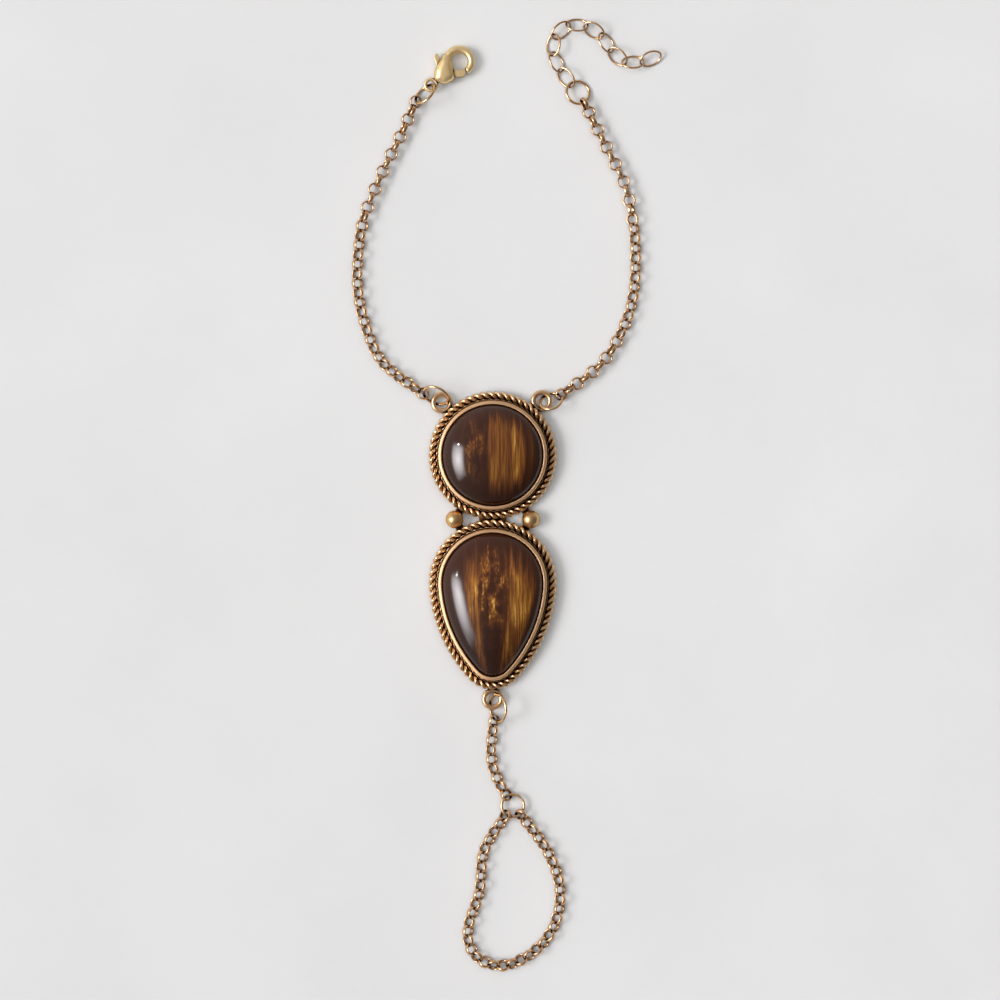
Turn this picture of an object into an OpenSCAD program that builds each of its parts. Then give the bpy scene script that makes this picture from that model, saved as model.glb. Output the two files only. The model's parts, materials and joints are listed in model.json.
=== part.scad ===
// Hand chain bracelet: two cabochons in one soldered setting, two wrist chains with a lobster
// clasp and an extender, a short drop chain and a finger loop. Millimetres, lying flat on z = 0.
// +Y runs from the finger loop to the clasp, +X to the right and +Z up. The origin is the
// centre of the round setting's back.

/* [Stones] */
// Width across the round stone.
round_stone_d = 18; // [16:0.5:20]
// Width across the head of the pear stone.
pear_stone_w = 18; // [16:0.5:20]
// Length of the pear stone from head to tip.
pear_stone_len = 25.4; // [23:0.2:28]
// Radius of the pear stone's soft tip.
pear_tip_r = 3.6; // [3:0.1:4.5]
// Radius of the pear stone's long flanks.
pear_flank_r = 24; // [21:0.5:30]
// Upright side of a stone below its dome.
stone_side_h = 1.3; // [1:0.1:2]
// Height of the dome above that side.
dome_h = 3.9; // [3.5:0.1:5]

/* [Setting] */
// Thickness of the back plates.
plate_t = 1.2; // [1:0.1:1.8]
// Wall of the bezel cups.
bezel_t = 0.45; // [0.35:0.05:0.6]
// Width of the twisted border ropes.
rope_d = 1.15; // [0.9:0.05:1.3]
// Twists that show around the round border.
rope_twists = 54; // [48:1:60]
// Gap between the ropes of the two settings.
settings_gap = 0.4; // [0.2:0.1:1]
// Diameter of the two solder balls between the settings.
ball_d = 3.1; // [2.6:0.1:3.3]
// Outer diameter of the three eyes.
eye_d = 3.8; // [3.6:0.1:4.3]
// Wire of the three eyes.
eye_wire = 0.8; // [0.7:0.05:0.9]

/* [Jump rings] */
// Wire of the jump rings.
ring_wire = 0.48; // [0.4:0.02:0.54]
// Outer diameter of the ring at the left eye.
left_ring_d = 5; // [4.6:0.1:5.4]
// Outer diameter of the ring at the right eye.
right_ring_d = 4.4; // [4.2:0.1:4.8]
// Outer diameter of the ring at the lower eye.
drop_ring_d = 5.2; // [4.8:0.1:5.6]
// Outer diameter of the ring that gathers the finger loop.
finger_ring_d = 4.4; // [4.2:0.1:4.8]
// Outer diameter of the ring at the clasp.
clasp_ring_d = 4.6; // [4.4:0.1:5]
// Outer diameter of the ring that the clasp hooks into.
extender_ring_d = 4.6; // [4.4:0.1:5]

/* [Chain] */
// Outer diameter of a round chain link.
link_d = 2.34; // [2.3:0.02:2.6]
// Radial thickness of a round link's band.
link_t = 0.18; // [0.15:0.01:0.2]
// Width of a round link's band.
link_w = 0.54; // [0.46:0.02:0.6]
// Free play between neighbouring round links.
link_play = 0.21; // [0.19:0.01:0.26]

/* [Extender] */
// Outer length of an oval link.
oval_len = 4.2; // [4.1:0.1:4.6]
// Outer width of an oval link.
oval_w = 3; // [2.8:0.1:3.2]
// Wire of the oval links.
oval_wire = 0.36; // [0.32:0.02:0.38]
// Free play between neighbouring oval links.
oval_play = 0.28; // [0.26:0.02:0.4]
// Number of oval links.
oval_count = 10; // [6:1:11]

/* [Clasp] */
// Thickness of the clasp's body.
clasp_t = 2.7; // [2.5:0.1:3.2]
// Thickness of the spring lever.
lever_t = 1; // [0.8:0.05:1.1]
// Diameter of the lever's pivot pin.
pin_d = 0.6; // [0.5:0.05:0.7]

/* [Part] */
// One sub-part, or all of them.

/* [Hidden] */
$fn = 48;
gold = "#bd9150";
brass = "#c2a566";
stone = "#4a2c22";

// Gaps between a stone and its seat, and between a stone and its bezel.
seat_gap = 0.03;
side_gap = 0.06;
round_r = round_stone_d / 2;
seat_z = plate_t + seat_gap;
shoulder_z = seat_z + stone_side_h;
bezel_out = side_gap + bezel_t;
bezel_top = shoulder_z + 0.28 * dome_h;

// Offsets from a stone's edge: the plain inner wire, the rope's middle and the plate's edge.
inner_wire = 0.36;
inner_off = bezel_out + 0.4 * inner_wire;
rope_off = bezel_out + 0.85 * inner_wire + rope_d / 2;
rope_z = plate_t + 0.33 * rope_d;
plate_off = rope_off + 0.44 * rope_d;
pear_twist = 1.25;

// Pear stone: a head circle, a tip circle and two flank arcs that touch both.
pear_r = pear_stone_w / 2;
pear_d = pear_stone_len - pear_r - pear_tip_r;
head_y = -(round_r + 2 * rope_off + rope_d + settings_gap + pear_r);
flank_b = (pow(pear_flank_r - pear_tip_r, 2) - pow(pear_flank_r - pear_r, 2) - pow(pear_d, 2))
    / (2 * pear_d);
flank_a = sqrt(pow(pear_flank_r - pear_r, 2) - pow(flank_b, 2));
head_ang = atan2(-flank_b, flank_a);
tip_ang = atan2(-flank_b - pear_d, flank_a);

// Eyes: left and right ones stand at an angle on the round border, the lower one at the tip.
left_eye_ang = 134;
right_eye_ang = 48;
eye_z = ring_wire + 0.15 + eye_wire / 2;
eye_off = plate_off + eye_d / 2;
left_eye = (round_r + eye_off) * [cos(left_eye_ang), sin(left_eye_ang)];
right_eye = (round_r + eye_off) * [cos(right_eye_ang), sin(right_eye_ang)];
lower_eye = [0, head_y - pear_d - pear_tip_r - eye_off];

// Solder balls sit level with the middle of the gap, clear of both ropes on short bars.
ball_gap = 0.55;
ball_y = -(round_r + plate_off) - (-head_y - round_r - pear_r - 2 * plate_off) / 2;
ball_x = sqrt(pow(round_r + plate_off + ball_gap + ball_d / 2, 2) - pow(ball_y, 2));

// Round links: inner radius, distance between neighbours, and how far a link's centre stands
// from the wire of a ring that it hangs on.
link_r = link_d / 2 - link_t;
link_pitch = 2 * sqrt(pow(link_r, 2) - pow(link_w / 2, 2)) - link_play;
link_hold = sqrt(pow(link_r, 2) - pow(0.7 * ring_wire + link_w / 2, 2)) - ring_wire / 2
    - 1.35 * link_play;
function link_h(roll) = link_d / 2 * abs(sin(roll)) + link_w / 2 * abs(cos(roll));
function link_z(roll) = max(link_h(roll), link_h(roll + 90));

// Oval links: distance between neighbours, hold on the ring, and height above the ground.
oval_roll = 35;
oval_pitch = oval_len - 2 * oval_wire - oval_play;
oval_hold = oval_len / 2 - oval_wire - ring_wire / 2 - 0.8 * oval_play;
oval_z = (oval_w - oval_wire) / 2 * sin(oval_roll) + oval_wire / 2;

// A tilted jump ring stands through an eye. Its long axis points at the angle b from the chain
// to the eye, and it leans by the angle tilt about that axis with its lowest point on z = 0.
function ring_a(d) = (d - ring_wire) / 2;
function ring_z(d, tilt) = ring_a(d) * abs(sin(tilt)) + ring_wire / 2;
function cross_t(d, tilt, z) = asin((z - ring_z(d, tilt)) / (ring_a(d) * sin(tilt)));
function ring_xy(d, b, tilt, t) = ring_a(d)
    * (cos(t) * [cos(b), sin(b)] + sin(t) * cos(tilt) * [-sin(b), cos(b)]);
// Centre of a ring that goes through an eye, a little past the eye's middle.
function ring_at(d, b, tilt, eye, z, past) = eye + past * [cos(b), sin(b)]
    - ring_xy(d, b, tilt, cross_t(d, tilt, z));
// Where the chain's end of that ring is at the height z.
function chain_side(d, b, tilt, c, z) = c + ring_xy(d, b, tilt, 180 - cross_t(d, tilt, z));

left_tilt = [-22, 54];
right_tilt = [199, 46];
drop_tilt = [94, -54];
clasp_tilt = [46, -57];
left_ring_at = ring_at(left_ring_d, left_tilt[0], left_tilt[1], left_eye, eye_z, 0.45);
right_ring_at = ring_at(right_ring_d, right_tilt[0], right_tilt[1], right_eye, eye_z, 0.25);
drop_ring_at = ring_at(drop_ring_d, drop_tilt[0], drop_tilt[1], lower_eye, eye_z, 0.3);
clasp_ring_at = [-11.8, 63];
extender_ring_at = [14.9, 63.4];
flat_ring_z = 1;
extender_lean = 18;

// Turn of the links about the chain, as pairs of a share of the chain's length and degrees. The
// last links of the two wrist chains turn to suit the ring that they hang on.
left_turn = [[0, 27], [0.1, 45], [0.55, 45], [0.68, 8]];
left_end_roll = 22;
right_turn = [[0, 30], [0.08, 12], [0.16, 12], [0.34, 45], [0.58, 45], [0.7, 82]];
right_end_roll = 105;
drop_turn = [[0, 140], [1, 135]];
finger_turn = [[0, 45], [1, 45]];

// Where the chains meet their rings: a route starts and ends at the joint inside the ring.
function aside(p, d, a) = p + d * [cos(a), sin(a)];
// The angle that a chain leaves its ring at is given for each end.
left_start_ang = 154;
left_end_ang = 237;
right_start_ang = 34;
right_end_ang = -58;
drop_start_ang = -98;
finger_start_ang = -48;
finger_end_ang = 234;
joint_off = link_hold - link_pitch / 2;
left_start = aside(chain_side(left_ring_d, left_tilt[0], left_tilt[1], left_ring_at,
    link_z(left_turn[0][1])), joint_off, left_start_ang);
left_end = aside(chain_side(clasp_ring_d, clasp_tilt[0], clasp_tilt[1], clasp_ring_at,
    link_z(left_end_roll)), joint_off, left_end_ang);
right_start = aside(chain_side(right_ring_d, right_tilt[0], right_tilt[1], right_ring_at,
    link_z(right_turn[0][1])), joint_off, right_start_ang);
right_end = aside(extender_ring_at, ring_a(extender_ring_d) + joint_off, right_end_ang);
drop_start = aside(chain_side(drop_ring_d, drop_tilt[0], drop_tilt[1], drop_ring_at,
    link_z(drop_turn[0][1])), joint_off, drop_start_ang);
extender_ang = 131;
extender_start = aside(extender_ring_at,
    ring_a(extender_ring_d) + oval_hold - oval_pitch / 2, extender_ang);

// Chosen points of the routes, between the two ends that the rings give.
left_points = [[-19, 16], [-22, 22], [-23.5, 28.5], [-23.5, 35], [-22.5, 41.5], [-19.5, 49],
    [-16, 56]];
right_points = [[18.5, 15.5], [22.5, 21.5], [24.5, 27.5], [25, 34.5], [24.5, 41], [23, 47.5],
    [20, 53.5]];
// These are counted from the lower eye, the finger ring and the extender ring.
drop_points = [[-0.1, -6.5], [-0.3, -9.8], [0.4, -13], [2.1, -16.3], [4.4, -20]];
finger_points = [[4.7, -5.8], [6.6, -9], [7.9, -12.4], [8.3, -16], [7.8, -19.4], [6.4, -22.6],
    [4.1, -25.2], [1.2, -27.1], [-1.9, -28], [-4.9, -27.4], [-7, -25.6], [-7.9, -22.9], [-7.5, -20],
    [-6.4, -17.1], [-5.6, -13.9], [-5.5, -10.5], [-4.6, -6.8]];
extender_points = [[-4, 5.5], [-4.5, 9], [-2.5, 11.5], [0, 12], [3, 11], [5, 9], [6.5, 6.2],
    [9.5, 5], [13, 6], [17, 8]];

// A smooth curve through a few points, in short straight steps, and its running length.
function curve_point(a, b, c, d, t) = (2 * b + (c - a) * t + (2 * a - 5 * b + 4 * c - d) * t * t
    + (3 * b - a - 3 * c + d) * t * t * t) / 2;
function smooth(p) = let (n = len(p) - 1) [for (i = [0:n - 1]) for (j = [0:7])
    curve_point(p[max(i - 1, 0)], p[i], p[i + 1], p[min(i + 2, n)], j / 8), p[n]];
function run(p) = [for (i = 0, s = 0; i < len(p);
    s = s + (i < len(p) - 1 ? norm(p[i + 1] - p[i]) : 0), i = i + 1) s];
function spot(p, l, s) =
    let (i = max(0, min(len([for (x = l) if (x <= s) 1]) - 1, len(p) - 2)))
    p[i] + (p[i + 1] - p[i]) * (s - l[i]) / (l[i + 1] - l[i]);
// A link between two joints at s and s + step of the route, as [x, y, heading].
function between(p, l, s, step) =
    let (a = spot(p, l, s), b = spot(p, l, s + step))
    [(a[0] + b[0]) / 2, (a[1] + b[1]) / 2, atan2(b[1] - a[1], b[0] - a[0])];

// Drop chain: a fixed count of links at the full pitch. Its last link places the finger ring.
drop_count = 9;
drop_curve = smooth(concat([drop_start], [for (p = drop_points) lower_eye + p]));
drop_end = between(drop_curve, run(drop_curve), (drop_count - 1) * link_pitch, link_pitch);
finger_ring_at = aside([drop_end[0], drop_end[1]], link_hold + ring_a(finger_ring_d), drop_end[2]);
finger_start = aside(finger_ring_at, ring_a(finger_ring_d) + joint_off, finger_start_ang);
finger_end = aside(finger_ring_at, ring_a(finger_ring_d) + joint_off, finger_end_ang);

// Clasp, in its own plane: the eye at the origin, the hook along +X, the thumb tab on +Y.
clasp_ang = 40;
clasp_z = clasp_t / 2;
clasp_eye_at = clasp_ring_at
    + ring_xy(clasp_ring_d, clasp_tilt[0], clasp_tilt[1], cross_t(clasp_ring_d, clasp_tilt[1], clasp_z));
clasp_eye_a = 1;
clasp_eye_wire = 0.56;
hook_at = [6.4, 0];
hook_a = 2.17;
hook_wire = 1.36;
pivot = [3.1, 0.5];
gate_reach = 3.95;
running_gap = 0.04;
lever_gap = 0.1;
lever_open = 26;
pin_len = 0.6 * clasp_t;

// Round pads that make the puffed body, as [x, y, radius, share of the clasp's thickness].
body_pads = [[1.9, 0.2, 0.8, 0.62], [2.65, -0.8, 0.8, 0.66], [3.5, -1, 0.85, 0.7],
    [2.6, 0.75, 0.85, 0.75], [3.4, 0.2, 1.45, 1], [4.2, 0.9, 1.15, 0.95], [5, 1.85, 0.8, 0.62]];

// The lever is a hub on the pin with a thumb tab and an arm to the gate, which closes the hook.
hub_r = 0.7;
tab = [[-0.5, 0.1], [-0.1, 1.6], [0.3, 2.6], [0.75, 3.1], [1.1, 3.1], [1.3, 2.8], [0.95, 1.9],
    [0.55, 0.1]];
arm = [[-0.5, -0.4], [0.75, -1.5], [1.8, -1], [0.45, 0.5]];
gate_in = 1.6;
gate_out = 2.72;
// What is left of the gate's ring, about the hook's middle, ends at these edges.
gate_ends = [[0, 0], [-4, -1.05], [-4, 4], [4, 4], [4, -4], [0.8, -4]];
// The room that the tab and the gate need in the body as they swing from shut to open.
tab_room = [[-0.65, -0.1], [-0.9, 1.45], [-0.95, 3.6], [1.5, 3.6], [1.42, 2.8], [1.08, 1.9],
    [0.68, 0.1]];
gate_room = [[-0.65, -0.45], [0.55, -1.6], [0.78, -2.1], [1.25, -2.65], [1.85, -3.1], [2.6, -3.5],
    [4.6, -3.5], [4.6, 0.12], [2.1, 0.12], [1.2, 0.5], [0.3, 0.78]];

// Points along the pear's outline at an offset from the stone's edge, starting at the tip and
// going counter-clockwise, each as [x, y, outward angle] about the head's centre.
function arc_len(r, a) = r * a * PI / 180;
function pear_len(o) = 2 * arc_len(pear_tip_r + o, tip_ang + 90)
    + 2 * arc_len(pear_flank_r + o, head_ang - tip_ang)
    + arc_len(pear_r + o, 180 - 2 * head_ang);
function on_arc(c, r, a) = [c[0] + r * cos(a), c[1] + r * sin(a), a];
function pear_right(s, o) =
    let (tip_l = arc_len(pear_tip_r + o, tip_ang + 90),
        flank_l = arc_len(pear_flank_r + o, head_ang - tip_ang))
    s < tip_l ? on_arc([0, -pear_d], pear_tip_r + o, -90 + s / (pear_tip_r + o) * 180 / PI)
    : s < tip_l + flank_l ? on_arc([-flank_a, flank_b], pear_flank_r + o,
        tip_ang + (s - tip_l) / (pear_flank_r + o) * 180 / PI)
    : on_arc([0, 0], pear_r + o, head_ang + (s - tip_l - flank_l) / (pear_r + o) * 180 / PI);
function pear_at(s, o) = s <= pear_len(o) / 2 ? pear_right(s, o)
    : let (p = pear_right(pear_len(o) - s, o)) [-p[0], p[1], 180 - p[2]];
function pear_loop(n, o) = [for (i = [0:n - 1]) pear_at(pear_len(o) * i / n, o)];
function round_loop(n, r) = [for (i = [0:n - 1]) on_arc([0, 0], r, 360 * i / n)];

// Faces of a closed tube: n rings of m points each.
function tube_faces(n, m) = [for (i = [0:n - 1]) for (j = [0:m - 1]) for (half = [0, 1])
    let (p = m * i + j, q = m * i + (j + 1) % m,
        u = m * ((i + 1) % n) + j, v = m * ((i + 1) % n) + (j + 1) % m)
    half == 0 ? [p, q, u] : [u, q, v]];

// A rope of two strands twisted together, laid along a closed loop of [x, y, outward angle].
// Each twist takes four steps of the loop.
module rope(loop, z) {
    sides = 8;
    points = [for (i = [0:len(loop) - 1]) for (j = [0:sides - 1])
        let (a = 45 * j, c = abs(cos(a + 45 * i)),
            r = rope_d / 2 * (c > 0.9 ? 1 : c > 0.3 ? 0.8 : 0.56))
        [loop[i][0] + r * cos(a) * cos(loop[i][2]),
            loop[i][1] + r * cos(a) * sin(loop[i][2]), z + r * sin(a)]];
    polyhedron(points, tube_faces(len(loop), sides), convexity = 8);
}

// Flat pear outline at an offset from the stone's edge, about the head's centre.
module pear_flat(o) {
    far = 3 * pear_flank_r;
    circle(r = pear_r + o);
    translate([0, -pear_d]) circle(r = pear_tip_r + o);
    intersection() {
        translate([-flank_a, flank_b]) circle(r = pear_flank_r + o);
        translate([flank_a, flank_b]) circle(r = pear_flank_r + o);
        polygon([[0, 0],
            far * [cos(head_ang), sin(head_ang)],
            [0, -pear_d] + far * [cos(tip_ang), sin(tip_ang)],
            [0, -pear_d],
            [0, -pear_d] + far * [-cos(tip_ang), sin(tip_ang)],
            far * [-cos(head_ang), sin(head_ang)]]);
    }
}

// Section of a bezel cup as [offset from the stone's edge, height]: a plain round wire at its
// foot and an upright wall whose rounded top is turned in over the stone.
function on_wire(a) = [inner_off + inner_wire / 2 * cos(a), plate_t + 0.1 + inner_wire / 2 * sin(a)];
bezel_section = [[side_gap, plate_t - 0.3],
    [inner_off, plate_t - 0.3],
    on_wire(-20),
    on_wire(20),
    on_wire(60),
    on_wire(100),
    [bezel_out, plate_t + 0.22],
    [bezel_out, bezel_top - 0.6 * bezel_t],
    [bezel_out - 0.25 * bezel_t, bezel_top - 0.15 * bezel_t],
    [0.45 * bezel_out, bezel_top],
    [-0.05, bezel_top - 0.15 * bezel_t],
    [-0.11, bezel_top - 0.45 * bezel_t],
    [side_gap, shoulder_z + 0.02]];

module pear_bezel() {
    n = 72;
    rim = pear_loop(n, 0);
    points = [for (p = rim) for (q = bezel_section)
        [p[0] + q[0] * cos(p[2]), p[1] + q[0] * sin(p[2]), q[1]]];
    polyhedron(points, tube_faces(n, len(bezel_section)), convexity = 6);
}

// An eye lies flat and is soldered to the plate's edge by a short foot.
module eye(at, toward) {
    foot = [1.1, 1.6, plate_t - 0.2];
    translate([at[0], at[1], 0]) {
        translate([0, 0, eye_z])
            rotate_extrude() translate([(eye_d - eye_wire) / 2, 0]) circle(d = eye_wire);
        rotate([0, 0, toward]) translate([eye_d / 2, 0, plate_t / 2]) cube(foot, center = true);
    }
}

module setting() {
    web = [5.4, 1.6 + settings_gap, plate_t - 0.2];
    bar_w = 1.4;
    color(gold) {
        cylinder(r = round_r + plate_off, h = plate_t);
        translate([0, head_y, 0]) linear_extrude(plate_t) pear_flat(plate_off);
        rotate_extrude() translate([round_r, 0]) polygon(bezel_section);
        translate([0, head_y, 0]) pear_bezel();
        translate([0, ball_y, web[2] / 2 + 0.1]) cube(web, center = true);
        for (m = [0, 1]) mirror([m, 0, 0]) {
            translate([ball_x, ball_y, ball_d / 2]) sphere(d = ball_d);
            for (to = [[0, 0], [0, head_y]])
                translate([ball_x, ball_y, 0.15])
                    rotate([0, 0, atan2(to[1] - ball_y, to[0] - ball_x)])
                        translate([0, -bar_w / 2, 0])
                            cube([ball_d / 2 + ball_gap + 0.6, bar_w, plate_t - 0.3]);
        }
        eye(left_eye, left_eye_ang + 180);
        eye(right_eye, right_eye_ang + 180);
        eye(lower_eye, 90);
        rope(round_loop(4 * rope_twists, round_r + rope_off), rope_z);
        translate([0, head_y, 0])
            rope(pear_loop(4 * round(pear_len(rope_off) / pear_twist), rope_off), rope_z);
    }
}

module round_stone() {
    chamfer = 0.15;
    steps = 12;
    color(stone)
        rotate_extrude()
            polygon(concat([[0, seat_z], [round_r - chamfer, seat_z], [round_r, seat_z + chamfer]],
                [for (i = [0:steps - 1]) let (a = 90 * i / steps)
                    [round_r * cos(a), shoulder_z + dome_h * sin(a)]],
                [[0, shoulder_z + dome_h]]));
}

module pear_stone() {
    n = 64;
    steps = 8;
    middle_y = -0.3 * pear_d;
    rim = pear_loop(n, 0);
    levels = concat([[1, seat_z]], [for (i = [0:steps - 1]) let (a = 90 * i / steps)
        [cos(a), shoulder_z + dome_h * sin(a)]]);
    m = len(levels);
    points = concat([for (l = levels) for (p = rim)
            [p[0] * l[0], middle_y + (p[1] - middle_y) * l[0], l[1]]],
        [[0, middle_y, seat_z], [0, middle_y, shoulder_z + dome_h]]);
    faces = concat(
        [for (k = [0:m - 2]) for (i = [0:n - 1]) for (half = [0, 1])
            let (p = k * n + i, q = k * n + (i + 1) % n)
            half == 0 ? [p, p + n, q] : [q, p + n, q + n]],
        [for (i = [0:n - 1]) [i, (i + 1) % n, m * n]],
        [for (i = [0:n - 1]) [(m - 1) * n + i, m * n + 1, (m - 1) * n + (i + 1) % n]]);
    color(stone) translate([0, head_y, 0]) polyhedron(points, faces, convexity = 4);
}

// A round jump ring, leaning by tilt about its long axis at the angle b.
module jump_ring(d, at, z, b, tilt) {
    color(gold)
        translate([at[0], at[1], z])
            rotate([0, 0, b])
                rotate([tilt, 0, 0])
                    rotate_extrude() translate([ring_a(d), 0]) circle(d = ring_wire);
}

// A round link is a band, flat inside and crowned outside, in the plane z = 0.
module round_link() {
    r = link_d / 2;
    h = link_w / 2;
    rotate_extrude()
        polygon([[link_r, -h], [r - link_t / 2, -h], [r, -h / 2], [r, h / 2],
            [r - link_t / 2, h], [link_r, h]]);
}

// An oval link: two half rings and two straight sides, its long axis along X.
module oval_link() {
    half = (oval_w - oval_wire) / 2;
    straight = (oval_len - oval_w) / 2;
    for (m = [0, 1]) mirror([m, 0, 0])
        translate([straight, 0, 0])
            rotate([0, 0, -90])
                rotate_extrude(angle = 180) translate([half, 0]) circle(d = oval_wire);
    for (y = [-half, half])
        translate([-straight, y, 0]) rotate([0, 90, 0]) cylinder(d = oval_wire, h = 2 * straight);
}

// Links along a route: count of them at a fixed step, each turned by turns plus a quarter turn
// on every second one.
module chain(route, count, step, turns) {
    p = smooth(route);
    l = run(p);
    for (i = [0:count - 1]) {
        roll = lookup(i / (count - 1), turns);
        at = between(p, l, i * step, step);
        color(gold)
            translate([at[0], at[1], link_z(roll)])
                rotate([0, 0, at[2]])
                    rotate([roll + 90 * (i % 2), 0, 0])
                        round_link();
    }
}

// A chain fills its route from end to end with links that stand no further apart than the pitch.
function route_len(route) = let (l = run(smooth(route))) l[len(l) - 1];
function fill_count(route) = ceil(route_len(route) / link_pitch);
// The last turn that gives the last link the roll that its ring needs, by the shortest way.
function end_turn(count, turns, roll) =
    let (from = turns[len(turns) - 1][1], want = roll - 90 * ((count - 1) % 2))
    [[1, want + 180 * round((from - want) / 180)]];

module left_ring() {
    jump_ring(left_ring_d, left_ring_at, ring_z(left_ring_d, left_tilt[1]), left_tilt[0], left_tilt[1]);
}

module right_ring() {
    jump_ring(right_ring_d, right_ring_at, ring_z(right_ring_d, right_tilt[1]), right_tilt[0],
        right_tilt[1]);
}

module drop_ring() {
    jump_ring(drop_ring_d, drop_ring_at, ring_z(drop_ring_d, drop_tilt[1]), drop_tilt[0], drop_tilt[1]);
}

module clasp_ring() {
    jump_ring(clasp_ring_d, clasp_ring_at, ring_z(clasp_ring_d, clasp_tilt[1]), clasp_tilt[0],
        clasp_tilt[1]);
}

module finger_ring() {
    jump_ring(finger_ring_d, finger_ring_at, flat_ring_z, 0, 0);
}

module extender_ring() {
    jump_ring(extender_ring_d, extender_ring_at, ring_z(extender_ring_d, extender_lean),
        extender_ang, extender_lean);
}

module left_chain() {
    route = concat([left_start], left_points, [left_end]);
    n = fill_count(route);
    chain(route, n, route_len(route) / n, concat(left_turn, end_turn(n, left_turn, left_end_roll)));
}

module right_chain() {
    route = concat([right_start], right_points, [right_end]);
    n = fill_count(route);
    chain(route, n, route_len(route) / n,
        concat(right_turn, end_turn(n, right_turn, right_end_roll)));
}

module drop_chain() {
    chain(concat([drop_start], [for (p = drop_points) lower_eye + p]), drop_count, link_pitch,
        drop_turn);
}

module finger_chain() {
    route = concat([finger_start], [for (p = finger_points) finger_ring_at + p], [finger_end]);
    n = fill_count(route);
    chain(route, n, route_len(route) / n, finger_turn);
}

module extender_chain() {
    p = smooth(concat([extender_start], [for (q = extender_points) extender_ring_at + q]));
    l = run(p);
    for (i = [0:oval_count - 1]) {
        at = between(p, l, i * oval_pitch, oval_pitch);
        color(gold)
            translate([at[0], at[1], oval_z])
                rotate([0, 0, at[2]])
                    rotate([oval_roll * (i % 2 == 0 ? -1 : 1), 0, 0])
                        oval_link();
    }
}

// Places a shape drawn in the clasp's own plane.
module at_clasp() {
    translate([clasp_eye_at[0], clasp_eye_at[1], clasp_z]) rotate([0, 0, clasp_ang]) children();
}

module clasp_body() {
    tip_gap = gate_reach + lever_gap;
    slot_h = lever_t + 2 * lever_gap;
    color(brass) at_clasp() {
        rotate_extrude() translate([clasp_eye_a, 0]) circle(d = clasp_eye_wire);
        difference() {
            union() {
                // Puffed body between the eye and the hook's neck.
                hull() {
                    for (b = body_pads)
                        translate([b[0], b[1], 0])
                            scale([b[2], b[2], b[3] * clasp_t / 2])
                                sphere(r = 1, $fn = 28);
                }
                // Hook from the neck round to its tip.
                translate(hook_at)
                    rotate([0, 0, -112])
                        rotate_extrude(angle = 252) translate([hook_a, 0]) circle(d = hook_wire);
            }
            // Slot for the lever, open to the thumb tab and to the gate.
            translate([pivot[0], pivot[1], -slot_h / 2]) linear_extrude(slot_h) {
                circle(r = hub_r + lever_gap);
                polygon(tab_room);
                intersection() {
                    circle(r = tip_gap);
                    polygon(gate_room);
                }
            }
            // The gate's end swings past the hook's tip.
            translate([pivot[0], pivot[1], -clasp_t]) intersection() {
                cylinder(r = tip_gap, h = 2 * clasp_t);
                translate([1.7, -5, 0]) cube([4, 3.5, 2 * clasp_t]);
            }
            translate([pivot[0], pivot[1], -pin_len / 2 - 0.05])
                cylinder(d = pin_d + 0.04, h = pin_len + 0.1);
        }
    }
}

module clasp_lever() {
    color(brass) at_clasp()
        translate([pivot[0], pivot[1], -lever_t / 2])
            difference() {
                union() {
                    cylinder(r = hub_r, h = lever_t);
                    linear_extrude(lever_t) polygon(tab);
                    linear_extrude(lever_t) polygon(arm);
                    linear_extrude(lever_t) intersection() {
                        translate(hook_at - pivot) difference() {
                            circle(r = gate_out);
                            circle(r = gate_in);
                            polygon(gate_ends);
                        }
                        circle(r = gate_reach);
                    }
                }
                translate([0, 0, -1]) cylinder(d = pin_d + 2 * running_gap, h = lever_t + 2);
            }
}

module clasp_pin() {
    color(brass) at_clasp()
        translate([pivot[0], pivot[1], -pin_len / 2]) cylinder(d = pin_d, h = pin_len);
}

setting();
round_stone();
pear_stone();
left_ring();
right_ring();
drop_ring();
finger_ring();
clasp_ring();
extender_ring();
left_chain();
right_chain();
drop_chain();
finger_chain();
extender_chain();
clasp_body();
clasp_lever();
clasp_pin();
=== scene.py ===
import json
import math
import bpy
import numpy as np
from mathutils import Matrix, Vector


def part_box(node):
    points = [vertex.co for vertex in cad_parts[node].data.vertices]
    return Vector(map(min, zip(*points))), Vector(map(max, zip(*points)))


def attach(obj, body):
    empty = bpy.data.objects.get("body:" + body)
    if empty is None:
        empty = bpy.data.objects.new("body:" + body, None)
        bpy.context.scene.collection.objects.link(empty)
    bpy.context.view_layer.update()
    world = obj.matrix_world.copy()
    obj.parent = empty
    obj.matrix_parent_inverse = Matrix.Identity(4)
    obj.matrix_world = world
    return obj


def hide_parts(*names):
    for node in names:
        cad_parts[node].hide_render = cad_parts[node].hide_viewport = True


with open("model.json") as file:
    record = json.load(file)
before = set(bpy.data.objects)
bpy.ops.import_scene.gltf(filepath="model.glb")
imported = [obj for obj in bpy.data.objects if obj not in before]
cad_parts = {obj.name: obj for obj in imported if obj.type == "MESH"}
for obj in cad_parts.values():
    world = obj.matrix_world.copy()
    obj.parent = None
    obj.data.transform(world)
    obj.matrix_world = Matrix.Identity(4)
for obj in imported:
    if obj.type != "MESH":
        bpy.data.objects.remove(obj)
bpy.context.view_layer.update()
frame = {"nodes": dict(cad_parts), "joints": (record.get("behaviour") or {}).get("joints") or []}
mm = 0.001

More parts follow.
